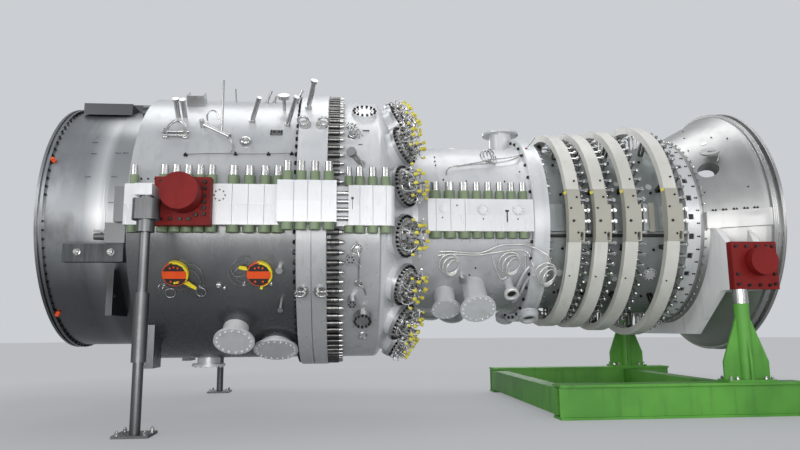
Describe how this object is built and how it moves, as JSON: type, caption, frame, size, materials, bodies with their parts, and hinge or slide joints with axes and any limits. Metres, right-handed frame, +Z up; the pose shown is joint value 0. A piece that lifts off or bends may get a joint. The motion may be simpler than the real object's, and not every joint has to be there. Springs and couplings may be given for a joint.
{
  "type": "gas turbine",
  "caption": "Heavy-duty gas turbine: exhaust casing, flanged turbine and combustor casings with a ring of burners, compressor with turning vane setting rings and an inlet bell, on its stands.",
  "frame": {"origin": "on the floor, under the middle of the whole length and width", "axes": "+X along the shaft towards the air inlet, +Y to the far side, +Z up"},
  "size_m": [12.7052, 7.1, 6.09],
  "materials": {
    "exhaust_steel": "brushed, stained, with weld marks",
    "inner_steel": "dull",
    "white_paint": "gloss",
    "grey_paint": "gloss",
    "machined_steel": "machined",
    "sage_paint": "satin",
    "burner_steel": "machined",
    "yellow_plastic": "matte",
    "flange_white": "gloss",
    "vane_casing_paint": "satin",
    "cream_paint": "satin",
    "bell_paint": "gloss",
    "red_paint": "gloss",
    "green_paint": "satin",
    "orange_paint": "satin"
  },
  "bodies": {
    "machine": {"exhaust_casing": "exhaust_steel", "exhaust_hub": "inner_steel", "exhaust_struts": "exhaust_steel", "turbine_blades": "inner_steel", "exhaust_brackets": "exhaust_steel", "turbine_casing_upper": "white_paint", "turbine_casing_lower": "grey_paint", "middle_flange_upper": "white_paint", "middle_flange_lower": "grey_paint", "middle_flange_studs": "machined_steel", "combustor_casing_upper": "white_paint", "combustor_casing_lower": "grey_paint", "burner_flanges": "burner_steel", "burner_stems": "burner_steel", "burner_caps": "yellow_plastic", "compressor_casing_upper": "white_paint", "compressor_casing_lower": "grey_paint", "compressor_end_flange": "flange_white", "joint_sleeves": "sage_paint", "joint_studs": "machined_steel", "joint_caps": "sage_paint", "vane_casing": "vane_casing_paint", "vane_levers_1": "machined_steel", "vane_levers_2": "machined_steel", "vane_levers_3": "machined_steel", "vane_levers_4": "machined_steel", "ring_rollers": "inner_steel", "strut_casing": "cream_paint", "inlet_bell_upper": "bell_paint", "inlet_bell_lower": "bell_paint", "inlet_hub": "inner_steel", "inlet_struts": "bell_paint", "inlet_guide_vanes": "machined_steel", "lifting_trunnions": "red_paint", "inlet_trunnions": "red_paint", "inlet_cradle": "flange_white", "jack_posts": "machined_steel", "pedestals": "green_paint", "base_frame": "green_paint", "column_arms": "grey_paint", "exhaust_columns": "machined_steel", "casing_nozzles": "flange_white", "access_covers": "orange_paint", "manhole_covers": "flange_white", "casing_fittings": "machined_steel"},
    "setting_ring_1": {"vane_ring_1": "cream_paint"},
    "setting_ring_2": {"vane_ring_2": "cream_paint"},
    "setting_ring_3": {"vane_ring_3": "cream_paint"},
    "setting_ring_4": {"vane_ring_4": "cream_paint"}
  },
  "joints": [
    {"name": "setting_ring_1_turn", "type": "hinge", "parent": "machine", "child": "setting_ring_1", "pos_m": [2.72109, 0, 3.45], "axis": [1, 0, 0], "range_deg": [-2, 2]},
    {"name": "setting_ring_2_turn", "type": "hinge", "parent": "machine", "child": "setting_ring_2", "pos_m": [3.19909, 0, 3.45], "axis": [1, 0, 0], "range_deg": [-2, 2]},
    {"name": "setting_ring_3_turn", "type": "hinge", "parent": "machine", "child": "setting_ring_3", "pos_m": [3.72909, 0, 3.45], "axis": [1, 0, 0], "range_deg": [-2, 2]},
    {"name": "setting_ring_4_turn", "type": "hinge", "parent": "machine", "child": "setting_ring_4", "pos_m": [4.45009, 0, 3.45], "axis": [1, 0, 0], "range_deg": [-2, 2]}
  ]
}
